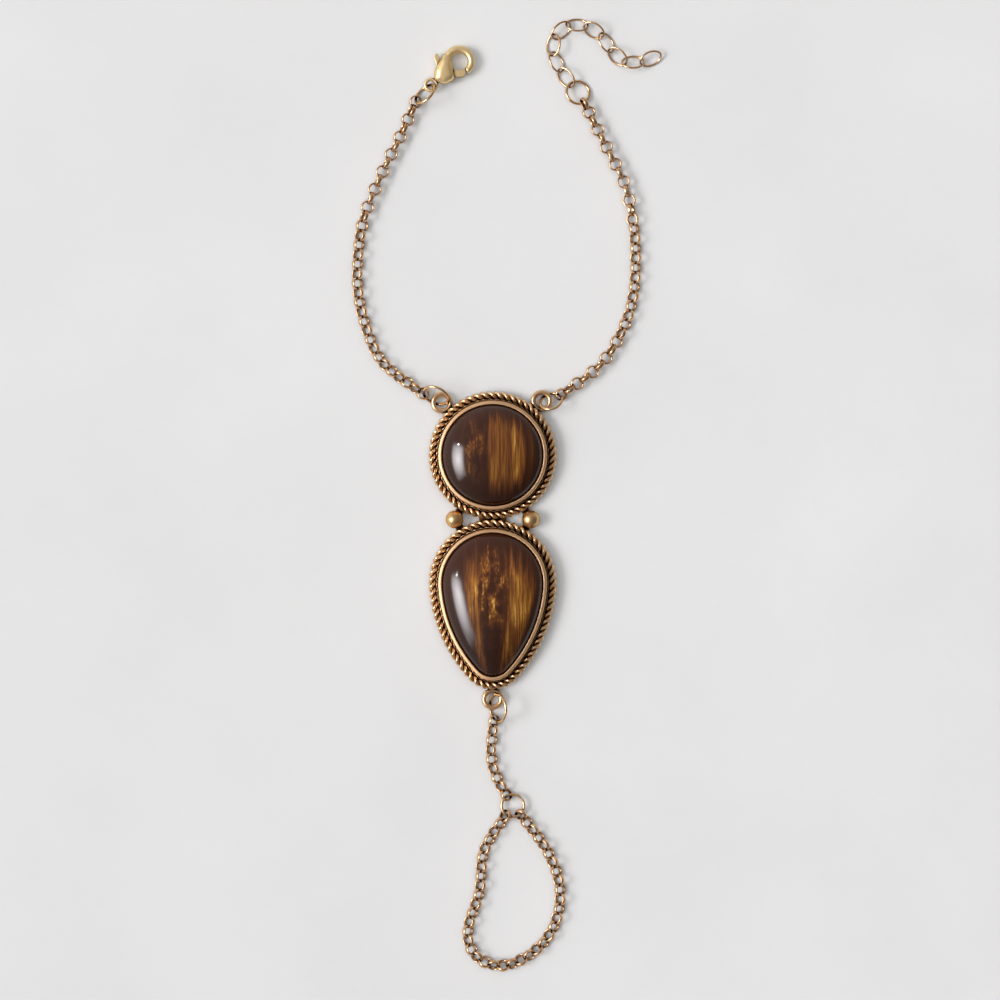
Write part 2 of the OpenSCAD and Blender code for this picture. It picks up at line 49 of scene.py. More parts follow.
# Cabochons
# Two domed stones of brown cat's-eye, one round and one pear-shaped, ground flat below and
# polished to a high gloss. Fibres inside run along the hand and show as golden bands, partly their own colour
# and partly a painted chatoyant sheen.
stone_low, stone_high = (np.array(c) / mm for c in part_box("round_stone"))
pear_low, pear_high = (np.array(c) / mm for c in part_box("pear_stone"))
round_r = (stone_high[0] - stone_low[0]) / 2
seat_z = stone_low[2]
dome_top = stone_high[2]
side_h = 1.3
shoulder_z = seat_z + side_h
dome_h = dome_top - shoulder_z
stone_chamfer = 0.15
pear_r = (pear_high[0] - pear_low[0]) / 2
pear_head_y = pear_high[1] - pear_r
pear_tip_r = 3.6
pear_flank_r = 24.0
pear_d = pear_head_y - pear_low[1] - pear_tip_r


def round_outline(offset, count):
    """Points around the round stone at an offset from its edge, with their outward normals."""
    a = np.arange(count) * 2 * math.pi / count
    normal = np.stack([np.cos(a), np.sin(a)], 1)
    return normal * (round_r + offset), normal


def pear_outline(offset, count):
    """Points around the pear stone: tip arc, flank arcs and head arc that touch each other."""
    b = ((pear_flank_r - pear_tip_r) ** 2 - (pear_flank_r - pear_r) ** 2 - pear_d ** 2) / (2 * pear_d)
    a = math.sqrt((pear_flank_r - pear_r) ** 2 - b ** 2)
    head, tip = math.atan2(-b, a), math.atan2(-b - pear_d, a)
    arcs = [((0, -pear_d), pear_tip_r, -math.pi / 2, tip), ((-a, b), pear_flank_r, tip, head),
            ((0, 0), pear_r, head, math.pi / 2)]
    lengths = [(r + offset) * (t1 - t0) for _, r, t0, t1 in arcs]
    half = sum(lengths)
    points, normals = [], []
    for i in range(count):
        s = 2 * half * i / count
        mirror = s > half
        s = 2 * half - s if mirror else s
        for (c, r, t0, _), length in zip(arcs, lengths):
            if s <= length or r == pear_r:
                t = t0 + s / (r + offset)
                break
            s -= length
        n = (math.cos(t), math.sin(t))
        x = c[0] + (r + offset) * n[0]
        points.append((-x if mirror else x, pear_head_y + c[1] + (r + offset) * n[1]))
        normals.append((-n[0] if mirror else n[0], n[1]))
    return np.array(points), np.array(normals)


def add_mesh(name, verts, faces, sharp=None):
    """A smooth-shaded mesh from points in millimetres; edges above the sharp angle stay hard."""
    mesh = bpy.data.meshes.new(name)
    mesh.from_pydata((np.asarray(verts) * mm).tolist(), [], faces)
    mesh.validate()
    mesh.shade_smooth()
    if sharp:
        mesh.set_sharp_from_angle(angle=math.radians(sharp))
    piece = bpy.data.objects.new(name, mesh)
    bpy.context.collection.objects.link(piece)
    return piece


def grid_faces(rows, columns, start=0, closed_rows=False):
    """Quads between rows of points; each row is a closed ring of columns points."""
    last = rows if closed_rows else rows - 1
    return [(start + i * columns + j, start + i * columns + (j + 1) % columns,
             start + (i + 1) % rows * columns + (j + 1) % columns, start + (i + 1) % rows * columns + j)
            for i in range(last) for j in range(columns)]


def add_cabochon(name, outline, middle, count=128, steps=20):
    """A flat-backed stone: a straight side with a small chamfer and an elliptical dome."""
    rim, _ = outline(0, count)
    levels = [(1 - stone_chamfer / round_r, seat_z), (1, seat_z + stone_chamfer)]
    levels += [(math.cos(t), shoulder_z + dome_h * math.sin(t))
               for t in np.linspace(0, math.pi / 2, steps, endpoint=False)]
    verts = [(middle[0] + (x - middle[0]) * k, middle[1] + (y - middle[1]) * k, z)
             for k, z in levels for x, y in rim]
    faces = grid_faces(len(levels), count)
    below, top = len(verts), len(verts) + 1
    verts += [(middle[0], middle[1], seat_z), (middle[0], middle[1], dome_top)]
    last = (len(levels) - 1) * count
    faces += [(below, (j + 1) % count, j) for j in range(count)]
    faces += [(top, last + j, last + (j + 1) % count) for j in range(count)]
    return add_mesh(name, verts, faces, sharp=50)


pear_crown_y = pear_head_y - 0.3 * pear_d
round_stone = add_cabochon("round_cabochon", round_outline, (0, 0))
pear_stone = add_cabochon("pear_cabochon", pear_outline, (0, pear_crown_y))


def new_material(name):
    """An empty node material with its Principled shader, ready for this piece's own nodes."""
    material = bpy.data.materials.new(name)
    material.use_nodes = True
    tree = material.node_tree
    tree.nodes.clear()
    out = tree.nodes.new("ShaderNodeOutputMaterial")
    shader = tree.nodes.new("ShaderNodeBsdfPrincipled")
    tree.links.new(shader.outputs["BSDF"], out.inputs["Surface"])
    return material, tree, shader


def add_node(tree, kind, links=(), **settings):
    """A node with its properties set and its inputs linked or given values."""
    node = tree.nodes.new(kind)
    for key, value in settings.items():
        setattr(node, key, value)
    for key, value in links:
        if isinstance(value, bpy.types.NodeSocket):
            tree.links.new(value, node.inputs[key])
        else:
            node.inputs[key].default_value = value
    return node


def add_ramp(tree, source, stops):
    """A colour ramp from (place, colour or grey) pairs; gives its colour output."""
    node = add_node(tree, "ShaderNodeValToRGB", [("Fac", source)])
    ramp = node.color_ramp
    while len(ramp.elements) < len(stops):
        ramp.elements.new(0.5)
    for element, (place, colour) in zip(ramp.elements, stops):
        element.position = place
        if not isinstance(colour, tuple):
            colour = (colour, colour, colour)
        element.color = (*colour, 1)
    return node.outputs["Color"]


def math_node(tree, operation, a, b=0.0, clamp=False):
    """One arithmetic step on two values; gives its output."""
    node = add_node(tree, "ShaderNodeMath", [(0, a), (1, b)], operation=operation, use_clamp=clamp)
    return node.outputs[0]


def fibre_group():
    """Cat's-eye fibres: fine streaks along Y gathered in bands, with frayed ends and mottled parts; their
    golden colour also holds a painted chatoyant sheen.
    """
    group = bpy.data.node_groups.new("cats_eye_fibres_and_sheen", "ShaderNodeTree")
    face = group.interface
    for name in ("Band", "Far", "Mottle"):
        face.new_socket(name, in_out="INPUT", socket_type="NodeSocketFloat")
    face.new_socket("Offset", in_out="INPUT", socket_type="NodeSocketVector")
    face.new_socket("Color", in_out="OUTPUT", socket_type="NodeSocketColor")
    given = group.nodes.new("NodeGroupInput").outputs
    out = group.nodes.new("NodeGroupOutput").inputs
    place = add_node(group, "ShaderNodeTexCoord").outputs["Object"]
    place = add_node(group, "ShaderNodeVectorMath", [(0, place), (1, given["Offset"])]).outputs[0]
    wander = add_node(group, "ShaderNodeTexNoise", [("Vector", place), ("Scale", 300.0), ("Detail", 2.0)])
    wander = add_node(group, "ShaderNodeVectorMath", [(0, wander.outputs["Color"]), (1, (0.0005, 0, 0))],
                      operation="MULTIPLY").outputs[0]
    bent = add_node(group, "ShaderNodeVectorMath", [(0, place), (1, wander)]).outputs[0]

    def streaks(across, along, detail, low, high):
        """Noise stretched along the fibres, with the values between low and high spread out."""
        stretched = add_node(group, "ShaderNodeMapping", [("Vector", bent), ("Scale", (across, along, 1))])
        noise = add_node(group, "ShaderNodeTexNoise", [("Vector", stretched.outputs[0]), ("Scale", 1.0),
                                                       ("Detail", detail), ("Roughness", 0.6)]).outputs[0]
        return add_node(group, "ShaderNodeMapRange", [("Value", noise), ("From Min", low),
                                                      ("From Max", high)]).outputs[0]

    fine = streaks(across=4600, along=110, detail=3.0, low=0.36, high=0.66)
    broad = streaks(across=1500, along=120, detail=2.0, low=0.36, high=0.68)
    specks = streaks(across=3400, along=1500, detail=3.0, low=0.42, high=0.66)
    clouds = streaks(across=620, along=260, detail=3.0, low=0.42, high=0.6)
    frayed = math_node(group, "ADD", given["Far"], math_node(group, "MULTIPLY", broad, 0.3))
    fade = add_node(group, "ShaderNodeMapRange", [("Value", frayed), ("From Min", 1.2), ("From Max", 0.72)],
                    interpolation_type="SMOOTHSTEP").outputs[0]
    specks = math_node(group, "ADD", math_node(group, "MULTIPLY", specks, 0.7), 0.5)
    clouds = math_node(group, "MULTIPLY", clouds, specks)
    plain = math_node(group, "SUBTRACT", 1.0, given["Mottle"])
    cover = math_node(group, "ADD", plain, math_node(group, "MULTIPLY", clouds, given["Mottle"]))
    strength = math_node(group, "MULTIPLY", math_node(group, "MULTIPLY", given["Band"], fade), cover)
    lines = math_node(group, "ADD", math_node(group, "MULTIPLY", fine, 0.5),
                      math_node(group, "MULTIPLY", broad, 0.42))
    # Painted sheen: the golden glow of the bands stands for the chatoyant shine of light along the fibres, as
    # well as their own colour.
    glow = math_node(group, "MULTIPLY", strength, math_node(group, "ADD", lines, 0.3), clamp=True)
    colour = add_ramp(group, glow, [(0.0, (0.03, 0.0075, 0.002)), (0.2, (0.062, 0.018, 0.004)),
                                    (0.42, (0.145, 0.047, 0.008)), (0.68, (0.32, 0.137, 0.019)),
                                    (1.0, (0.68, 0.38, 0.085))])
    group.links.new(colour, out["Color"])
    return group


fibres = fibre_group()


def stone_material(name, middle, bulge, taper, reach, bands, mottles, low_end, offset, tone, haze):
    """Polished stone with fibres below a clear gloss. The bands and mottled parts are (place,
    strength) pairs across the stone from -1 to 1. They draw in by bulge towards both ends and by
    taper towards the tip, fray out at reach (half width, half length, middle) and fade at low_end.
    Tone is the painted shade: the brightness at the dark lower end and at the bright upper end of the stone,
    haze the gloss coat's roughness."""
    fade_length = 0.35
    shaded_end, lit_end = -1.3, 0.7
    material, tree, shader = new_material(name)
    place = add_node(tree, "ShaderNodeTexCoord").outputs["Object"]
    place = add_node(tree, "ShaderNodeSeparateXYZ", [(0, place)])
    up = math_node(tree, "DIVIDE", math_node(tree, "SUBTRACT", place.outputs[1], middle * mm), round_r * mm)
    bulge = math_node(tree, "MULTIPLY", math_node(tree, "MULTIPLY", up, up), -bulge)
    taper = math_node(tree, "MULTIPLY", math_node(tree, "MINIMUM", up, 0.0), taper)
    half = math_node(tree, "ADD", math_node(tree, "ADD", bulge, taper), 1.0)
    across = math_node(tree, "DIVIDE", math_node(tree, "DIVIDE", place.outputs[0], round_r * mm), half)
    share = math_node(tree, "MULTIPLY", math_node(tree, "ADD", across, 1.0), 0.5)
    band = add_ramp(tree, share, [((x + 1) / 2, strength) for x, strength in bands])
    mottle = add_ramp(tree, share, [((x + 1) / 2, strength) for x, strength in mottles])
    low = add_node(tree, "ShaderNodeMapRange", [("Value", up), ("From Min", low_end),
                                                ("From Max", low_end + fade_length),
                                                ("To Min", 0.15), ("To Max", 1.0)]).outputs[0]
    low = math_node(tree, "ADD", math_node(tree, "MULTIPLY", low, mottle),
                    math_node(tree, "SUBTRACT", 1.0, mottle))
    band = math_node(tree, "MULTIPLY", band, low)
    dx = math_node(tree, "DIVIDE", place.outputs[0], reach[0] * mm)
    dy = math_node(tree, "SUBTRACT", place.outputs[1], reach[2] * mm)
    dy = math_node(tree, "DIVIDE", dy, reach[1] * mm)
    far = math_node(tree, "SQRT", math_node(tree, "ADD", math_node(tree, "MULTIPLY", dx, dx),
                                            math_node(tree, "MULTIPLY", dy, dy)))
    inner = add_node(tree, "ShaderNodeGroup", [("Band", band), ("Far", far), ("Mottle", mottle),
                                               ("Offset", offset)], node_tree=fibres)
    # Painted shade: depth scales the fibre colour darker towards the bottom of the stone and lighter towards
    # its top, as if lit from above.
    depth = add_node(tree, "ShaderNodeMapRange", [("Value", up), ("From Min", shaded_end),
                                                  ("From Max", lit_end), ("To Min", tone[0]),
                                                  ("To Max", tone[1])]).outputs[0]
    painted_height_shade = add_node(tree, "ShaderNodeVectorMath", [(0, inner.outputs["Color"])], operation="SCALE")
    tree.links.new(depth, painted_height_shade.inputs["Scale"])
    tree.links.new(painted_height_shade.outputs[0], shader.inputs["Base Color"])
    shader.inputs["Roughness"].default_value = 0.4
    shader.inputs["IOR"].default_value = 1.5
    shader.inputs["Specular IOR Level"].default_value = 0.05
    shader.inputs["Coat Weight"].default_value = 1.0
    shader.inputs["Coat Roughness"].default_value = haze
    shader.inputs["Coat IOR"].default_value = 1.5
    return material


round_stone.data.materials.append(stone_material(
    "brown_cats_eye_round", middle=0, bulge=0.28, taper=0, reach=(8.8, 7.8, 0.2),
    bands=[(-1, 0), (-0.66, 0), (-0.5, 0.75), (-0.24, 0.6), (-0.13, 0.15), (-0.07, 0.55), (0.1, 0.6),
           (0.36, 0.52), (0.46, 1), (0.52, 0.66), (0.6, 0.72), (0.67, 0.1), (0.78, 0.6), (0.88, 0)],
    mottles=[(-0.12, 1), (-0.06, 0)], low_end=-0.7, offset=(0, 0, 0.002), tone=(0.45, 1), haze=0.04))
pear_stone.data.materials.append(stone_material(
    "brown_cats_eye_pear", middle=pear_head_y, bulge=0.1, taper=0.2, reach=(9.8, 12.2, pear_head_y - 5.2),
    bands=[(-1, 0), (-0.6, 0), (-0.52, 0.72), (-0.34, 0.95), (-0.26, 0.9), (0, 1), (0.15, 0.8),
           (0.24, 0.95), (0.31, 0.5), (0.38, 1), (0.6, 0.9), (0.8, 1), (0.9, 0.05)],
    mottles=[(-0.5, 0.3), (-0.36, 0.2), (-0.22, 0.95), (0.18, 0.95), (0.36, 0.25), (0.8, 0.2)],
    low_end=-0.9, offset=(0.01, 0.003, 0.004), tone=(0.52, 1.22), haze=0.11))
for stone, node in ((round_stone, "round_stone"), (pear_stone, "pear_stone")):
    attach(stone, "bracelet")
    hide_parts(node)

# Back plates and bezel cups
# The setting is soldered up from brass parts, gold plated and antiqued. Each stone lies on a flat
# back plate inside a cup, whose plain bright rim is burnished over the stone's edge.
plate_t = 1.2
side_gap = 0.06
bezel_t = 0.45
bezel_out = side_gap + bezel_t
bezel_top = shoulder_z + 0.28 * dome_h
bezel_foot = plate_t - 0.3
lip_foot = shoulder_z + 0.1
rope_d = 1.15
wire_r = 0.18
rope_off = bezel_out + 1.7 * wire_r + rope_d / 2
plate_off = rope_off + 0.44 * rope_d


def metal_wear_group():
    """Antiqued plating: soft tone patches, dark deposit in recesses, worn bright edges, satin grain."""
    group = bpy.data.node_groups.new("antique_plating", "ShaderNodeTree")
    face = group.interface
    for name, kind in (("Metal", "Color"), ("Deposit", "Color"), ("Worn", "Color"), ("Depth", "Float"),
                       ("Satin", "Float")):
        face.new_socket(name, in_out="INPUT", socket_type="NodeSocket" + kind)
    for name, kind in (("Color", "Color"), ("Roughness", "Float"), ("Height", "Float")):
        face.new_socket(name, in_out="OUTPUT", socket_type="NodeSocket" + kind)
    given = group.nodes.new("NodeGroupInput").outputs
    out = group.nodes.new("NodeGroupOutput").inputs
    place = add_node(group, "ShaderNodeTexCoord").outputs["Object"]
    patches, grain, pits = (add_node(group, "ShaderNodeTexNoise", [("Vector", place), ("Scale", scale),
                                                                   ("Detail", detail)]).outputs[0]
                            for scale, detail in ((420.0, 4.0), (9000.0, 3.0), (2600.0, 5.0)))
    open_sky = add_node(group, "ShaderNodeAmbientOcclusion", [("Distance", 0.0007)], samples=12).outputs["AO"]
    hollow = math_node(group, "SUBTRACT", 1.0, open_sky)
    hollow = math_node(group, "MULTIPLY", hollow, given["Depth"])
    uneven = math_node(group, "MULTIPLY", math_node(group, "SUBTRACT", pits, 0.5), 0.5)
    hollow = math_node(group, "ADD", hollow, uneven)
    hollow = add_node(group, "ShaderNodeMapRange", [("Value", hollow), ("From Min", 0.22),
                                                    ("From Max", 0.95)],
                      interpolation_type="SMOOTHSTEP").outputs[0]
    edge = add_node(group, "ShaderNodeNewGeometry").outputs["Pointiness"]
    edge = add_node(group, "ShaderNodeMapRange", [("Value", edge), ("From Min", 0.52),
                                                  ("From Max", 0.62)]).outputs[0]
    tone = add_node(group, "ShaderNodeMapRange", [("Value", patches), ("From Min", 0.35), ("From Max", 0.7),
                                                  ("To Min", 0.0), ("To Max", 0.35)]).outputs[0]
    tone = math_node(group, "ADD", tone, math_node(group, "MULTIPLY", edge, 0.45), clamp=True)

    def blended(factor, a, b):
        """Colour a with b laid over it by the factor."""
        node = add_node(group, "ShaderNodeMix", data_type="RGBA")
        group.links.new(factor, node.inputs["Factor"])
        for socket, value in ((node.inputs[6], a), (node.inputs[7], b)):
            group.links.new(value, socket)
        return node.outputs[2]

    colour = blended(tone, given["Metal"], given["Worn"])
    colour = blended(hollow, colour, given["Deposit"])
    group.links.new(colour, out["Color"])
    rough = math_node(group, "ADD", given["Satin"], math_node(group, "MULTIPLY", hollow, 0.3))
    cloudy = math_node(group, "MULTIPLY", math_node(group, "SUBTRACT", patches, 0.5), 0.16)
    rough = math_node(group, "ADD", rough, cloudy)
    group.links.new(rough, out["Roughness"])
    height = math_node(group, "ADD", math_node(group, "MULTIPLY", grain, 0.3),
                       math_node(group, "MULTIPLY", pits, 0.7))
    group.links.new(height, out["Height"])
    return group


antique_plating = metal_wear_group()


def metal_material(name, metal, worn, deposit, depth, satin, edge=(0.55, 0.32, 0.15), metallic=1.0):
    """Plated metal with this piece's own colours, depth of antiquing and satin; edge is its tint
    at a grazing angle."""
    grain_depth = 0.000012
    material, tree, shader = new_material(name)
    wear = add_node(tree, "ShaderNodeGroup", node_tree=antique_plating)
    for key, value in (("Metal", metal), ("Worn", worn), ("Deposit", deposit)):
        wear.inputs[key].default_value = (*value, 1)
    wear.inputs["Depth"].default_value = depth
    wear.inputs["Satin"].default_value = satin
    tree.links.new(wear.outputs["Color"], shader.inputs["Base Color"])
    tree.links.new(wear.outputs["Roughness"], shader.inputs["Roughness"])
    relief = add_node(tree, "ShaderNodeBump", [("Height", wear.outputs["Height"]),
                                              ("Distance", grain_depth)])
    tree.links.new(relief.outputs[0], shader.inputs["Normal"])
    shader.inputs["Metallic"].default_value = metallic
    shader.inputs["Specular Tint"].default_value = (*edge, 1)
    return material


def sweep(name, outline, section, count, sharp=None):
    """A closed band along an outline from a section of (offset, height) points."""
    base, normal = outline(0, count)
    verts = [(p[0] + o * n[0], p[1] + o * n[1], z) for p, n in zip(base, normal) for o, z in section]
    return add_mesh(name, verts, grid_faces(count, len(section), closed_rows=True), sharp)


def add_plate(name, outline, edge, count=160):
    """A flat back plate with softly rounded edges."""
    soft = 0.22
    rings = [(edge - soft, 0), (edge - 0.3 * soft, 0.3 * soft), (edge, soft), (edge, plate_t - soft),
             (edge - 0.3 * soft, plate_t - 0.3 * soft), (edge - soft, plate_t)]
    verts, faces = [], []
    for o, z in rings:
        verts += [(x, y, z) for x, y in outline(o, count)[0]]
    faces += grid_faces(len(rings), count)
    faces.append(tuple(range(count))[::-1])
    faces.append(tuple(range((len(rings) - 1) * count, len(rings) * count)))
    return add_mesh(name, verts, faces, sharp=35)


# The rim's section from its outer edge inwards: share of its width, drop below its top.
rim_lip = 0.15
rim_shape = ((0, 0.44), (0.02, 0.32), (0.06, 0.22), (0.13, 0.14), (0.23, 0.09), (0.37, 0.055),
             (0.53, 0.028), (0.7, 0.006), (0.82, 0.004), (0.92, 0.04), (0.98, 0.1), (1, 0.18))
bezel_section = [(side_gap, bezel_foot), (bezel_out, bezel_foot)]
bezel_section += [(bezel_out - (bezel_out + rim_lip) * share, bezel_top - drop) for share, drop in rim_shape]
bezel_section += [(side_gap, lip_foot)]
setting_pieces = [add_plate("round_plate", round_outline, plate_off),
                  add_plate("pear_plate", pear_outline, plate_off),
                  sweep("round_bezel", round_outline, bezel_section, count=192, sharp=50),
                  sweep("pear_bezel", pear_outline, bezel_section, count=224, sharp=50)]
bright_gold = metal_material("antique_gold_rim", metal=(0.84, 0.54, 0.3), worn=(0.94, 0.68, 0.42),
                             deposit=(0.04, 0.013, 0.003), depth=1.5, satin=0.52)
# Painted shade: the back plates, bars and web get a near-black metal so that the gaps between the borders
# look shaded.
shade_dark_gold = metal_material("shaded_gold_ground", metal=(0.2, 0.08, 0.03), worn=(0.42, 0.22, 0.1),
                           deposit=(0.014, 0.004, 0.001), depth=2.0, satin=0.42)
for piece in setting_pieces[:2]:
    piece.data.materials.append(shade_dark_gold)
for piece in setting_pieces[2:]:
    piece.data.materials.append(bright_gold)

# Rope borders
# Around each cup two plain brass wires are twisted into a rope and soldered on the plate, with a
# finer twisted wire in the groove between rope and cup. Dark antiquing stays between the strands.
rope_twists = 54
pear_twist = 1.25
rope_crown_d = 1.38
strand = 0.27 * rope_crown_d
rope_crown_off = rope_off + (rope_crown_d - rope_d) / 2
rope_z = plate_t + 0.33 * rope_d
wire_off = bezel_out + 1.05 * wire_r
wire_z = plate_t + 0.55
wire_strand = 0.55 * wire_r
wire_reach = 0.6 * wire_r


def add_rope(name, outline, offset, height, strand, reach, twists, steps, sides=10):
    """Two strands twisted together along an outline; twists counts the strands that show."""
    count = twists * steps
    middle, normal = outline(offset, count)
    verts, faces = [], []
    for phase in (0, math.pi):
        turn = phase - math.pi * np.arange(count) / steps
        start = len(verts)
        for m, n, t in zip(middle, normal, turn):
            o, z = reach * math.cos(t), height + reach * math.sin(t)
            for k in range(sides):
                a = 2 * math.pi * k / sides
                r = o + strand * math.cos(a)
                verts.append((m[0] + r * n[0], m[1] + r * n[1], z + strand * math.sin(a)))
        ring = grid_faces(count, sides, start, closed_rows=True)
        if twists % 2:
            ring = grid_faces(count, sides, start)
            other = len(verts) if phase == 0 else start - count * sides
            last = start + (count - 1) * sides
            ring += [(last + j, last + (j + 1) % sides, other + (j + 1) % sides, other + j)
                     for j in range(sides)]
        faces += ring
    return add_mesh(name, verts, faces)


def outline_length(outline, offset):
    """Length of an outline at an offset from the stone's edge."""
    points = outline(offset, 400)[0]
    return float(np.linalg.norm(points - np.roll(points, 1, 0), axis=1).sum())


pear_twists = 2 * round(outline_length(pear_outline, rope_off) / pear_twist / 2)
rope_reach = rope_crown_d / 2 - strand
ropes = [add_rope("round_rope", round_outline, rope_crown_off, rope_z, strand, rope_reach,
                  twists=rope_twists, steps=12),
         add_rope("pear_rope", pear_outline, rope_crown_off, rope_z, strand, rope_reach,
                  twists=pear_twists, steps=12),
         add_rope("round_inner_wire", round_outline, wire_off, wire_z, wire_strand, wire_reach,
                  twists=54, steps=14, sides=8),
         add_rope("pear_inner_wire", pear_outline, wire_off, wire_z, wire_strand, wire_reach,
                  twists=64, steps=14, sides=8)]
rope_gold = metal_material("antique_gold_rope", metal=(0.92, 0.6, 0.32), worn=(1.0, 0.85, 0.61),
                           deposit=(0.055, 0.014, 0.001), depth=1.9, satin=0.28)
for piece in ropes:
    piece.data.materials.append(rope_gold)
setting_pieces += ropes

# Solder balls, bars and web
# Two plain brass balls fill the corners between the borders. Short bars and a web below them carry
# the two halves of the setting as one soldered piece.
ball_r = 1.55
ball_gap = 0.55
ball_foot = 0.985
bar_w = 1.4
bar_bite = 0.6
bar_inset = 0.15
web_half = 2.4
web_lap = 1.6
web_low = 0.1
web_high = plate_t - 0.5
border_gap = -(pear_head_y + pear_r) - round_r - 2 * plate_off
ball_y = -(round_r + plate_off) - border_gap / 2
ball_x = math.sqrt((round_r + plate_off + ball_gap + ball_r) ** 2 - ball_y ** 2)


def add_bar(name, start, end, width, low, high):
    """A bar with rounded long edges between two points."""
    start, end = np.array(start), np.array(end)
    along = (end - start) / np.linalg.norm(end - start)
    side = np.array([-along[1], along[0]])
    soft = 0.25
    section = [(-width / 2, low), (width / 2, low), (width / 2, high - soft), (width / 2 - soft, high),
               (-width / 2 + soft, high), (-width / 2, high - soft)]
    verts = [(*(p + s * side), z) for p in (start, end) for s, z in section]
    n = len(section)
    faces = grid_faces(2, n) + [tuple(range(n))[::-1], tuple(range(n, 2 * n))]
    return add_mesh(name, verts, faces, sharp=40)


def add_ball(name, x, y):
    """A solder ball with a slightly flattened foot."""
    rows, count = 24, 40
    verts = []
    for t in np.linspace(-math.pi / 2, math.pi / 2, rows):
        for a in np.arange(count) * 2 * math.pi / count:
            z = max(math.sin(t), -ball_foot)
            verts.append((x + ball_r * math.cos(t) * math.cos(a), y + ball_r * math.cos(t) * math.sin(a),
                          ball_r * (1 + z)))
    return add_mesh(name, verts, grid_faces(rows, count))


ball_gold = metal_material("antique_gold_ball", metal=(0.75, 0.49, 0.23), worn=(0.92, 0.66, 0.36),
                           deposit=(0.06, 0.025, 0.008), depth=0.8, satin=0.36)
for hand, x in (("left", -ball_x), ("right", ball_x)):
    ball = add_ball("solder_ball_" + hand, x, ball_y)
    ball.data.materials.append(ball_gold)
    setting_pieces.append(ball)
    for half, centre_y in (("round", 0), ("pear", pear_head_y)):
        towards = np.array([-x, centre_y - ball_y])
        towards /= np.linalg.norm(towards)
        start = np.array([x, ball_y])
        bar = add_bar("bar_%s_%s" % (half, hand), start, start + towards * (ball_r + ball_gap + bar_bite),
                      bar_w, bar_inset, plate_t - bar_inset)
        bar.data.materials.append(shade_dark_gold)
        setting_pieces.append(bar)
web = add_bar("web", (-web_half, ball_y), (web_half, ball_y), border_gap + web_lap, web_low, web_high)
web.data.materials.append(shade_dark_gold)
setting_pieces.append(web)

# Eyes
# Three rings of thicker brass wire lie flat against the borders, each soldered by a short foot: two
# at the upper corners for the wrist chains and one below the pear's tip for the drop chain.
eye_d = 3.8
eye_wire = 0.84
eye_z = 1.03
eye_off = plate_off + eye_d / 2
foot_reach = 0.6
foot_w = 1.6
foot_inset = 0.1


def ring_points(centre, long_axis, short_axis, radii, wire, count, sides, angles=None, squeeze=1.0):
    """Points of a bent round wire; radii are its long and short half lengths to the wire's middle."""
    centre, u, v = (np.array(c, float) for c in (centre, long_axis, short_axis))
    w = np.cross(u, v)
    a = np.arange(count) * 2 * math.pi / count if angles is None else angles
    verts = []
    for t in a:
        p = centre + radii[0] * math.cos(t) * u + radii[1] * math.sin(t) * v
        n = radii[1] * math.cos(t) * u + radii[0] * math.sin(t) * v
        n /= np.linalg.norm(n)
        for k in range(sides):
            b = 2 * math.pi * k / sides
            verts.append(p + wire / 2 * (math.cos(b) * n + squeeze * math.sin(b) * w))
    return verts


eye_places = []
for name, angle in (("left", math.radians(134)), ("right", math.radians(48))):
    out = np.array([math.cos(angle), math.sin(angle)])
    eye_places.append((name, (round_r + eye_off) * out, -out))
eye_places.append(("lower", np.array([0, pear_low[1] - eye_off]), np.array([0, 1])))
eye_gold = metal_material("antique_gold_eye", metal=(0.8, 0.5, 0.25), worn=(1.0, 0.8, 0.55),
                          deposit=(0.035, 0.01, 0.001), depth=2.6, satin=0.3)
for name, place, towards in eye_places:
    count, sides = 64, 16
    verts = ring_points((*place, eye_z), (1, 0, 0), (0, 1, 0), [(eye_d - eye_wire) / 2] * 2, eye_wire,
                        count, sides)
    eye = add_mesh("eye_" + name, verts, grid_faces(count, sides, closed_rows=True))
    foot = add_bar("eye_foot_" + name, place + towards * (eye_d / 2 - foot_reach),
                   place + towards * (eye_d / 2 + foot_reach), foot_w, foot_inset, plate_t - foot_inset)
    eye.data.materials.append(eye_gold)
    foot.data.materials.append(eye_gold)
    setting_pieces += [eye, foot]
for piece in setting_pieces:
    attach(piece, "bracelet")
    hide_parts("setting")

# Jump rings
# Six rings of plated brass wire join the chains to the eyes, to the finger loop, to the clasp and
# to the extender. Each was bent round and closed, and a hair-fine gap shows where its ends meet.


def loose_solids(node):
    """Middle, axes and half sizes of each loose solid of a CAD node, in millimetres. The axes are
    the longest, the middle and the thin direction."""
    mesh = frame["nodes"][node].data
    points = np.empty(len(mesh.vertices) * 3)
    mesh.vertices.foreach_get("co", points)
    points = points.reshape(-1, 3) / mm
    mesh.calc_loop_triangles()
    tris = np.empty(len(mesh.loop_triangles) * 3, int)
    mesh.loop_triangles.foreach_get("vertices", tris)
    unique, index = np.unique(np.round(points, 4), axis=0, return_inverse=True)
    tris = index.reshape(-1)[tris].reshape(-1, 3)
    label = np.arange(len(unique))
    while True:
        low = label[tris].min(1)
        new = label.copy()
        for k in range(3):
            np.minimum.at(new, tris[:, k], low)
        new = new[new]
        if (new == label).all():
            break
        label = new
    solids = []
    for mark in np.unique(label[tris[:, 0]]):
        own = tris[label[tris[:, 0]] == mark]
        a, b, c = unique[own[:, 0]], unique[own[:, 1]], unique[own[:, 2]]
        area = np.linalg.norm(np.cross(b - a, c - a), axis=1)
        middle = (area[:, None] * (a + b + c) / 3).sum(0) / area.sum()
        spread = (a + b + c) / 3 - middle
        _, axes = np.linalg.eigh((area[:, None] * spread).T @ spread)
        axes = axes.T[::-1]
        if np.linalg.det(axes) < 0:
            axes[2] *= -1
        corners = (unique[np.unique(own)] - middle) @ axes.T
        solids.append((middle, axes, np.abs(corners).max(0)))
    return sorted(solids, key=lambda s: (round(s[0][1], 3), round(s[0][0], 3)))


